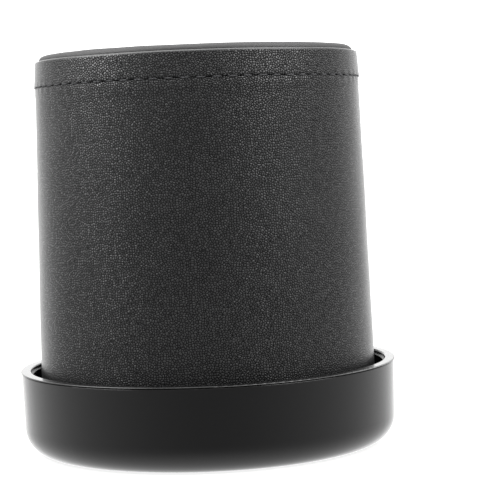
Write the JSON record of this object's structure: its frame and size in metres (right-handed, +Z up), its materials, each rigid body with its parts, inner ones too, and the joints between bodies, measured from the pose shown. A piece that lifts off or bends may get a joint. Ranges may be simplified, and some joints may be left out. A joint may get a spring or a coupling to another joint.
{
  "type": "dice_cup",
  "caption": "Leather-covered dice cup with a stitched end band and felt lining, standing mouth down in a round black plastic tray",
  "frame": {"origin": "Centre of the tray's flat underside", "axes": "+Z up along the shared axis of tray and cup; +Y away from the viewer with the side leather's butt joint at the back; +X to the right"},
  "size_m": [0.102, 0.102, 0.1071],
  "materials": {
    "black_leather": "pebbled satin",
    "tray_plastic": "smooth semi-gloss",
    "core_plastic": "moulded matte",
    "felt": "short napped felt",
    "thread": "twisted waxed thread",
    "board": "grey-brown board"
  },
  "bodies": {
    "tray": {"tray_shell": "tray_plastic", "tray_pad": "felt"},
    "cup": {"cup_core": "core_plastic", "side_wrap": "black_leather", "end_band": "black_leather", "seam_stitches": "thread", "end_board": "board", "end_cover": "black_leather", "side_lining": "felt", "end_lining": "felt"}
  },
  "joints": [
    {"name": "cup_lift", "type": "slide", "parent": "tray", "child": "cup", "axis": [0, 0, 1], "range_m": [0, 0.12]}
  ]
}
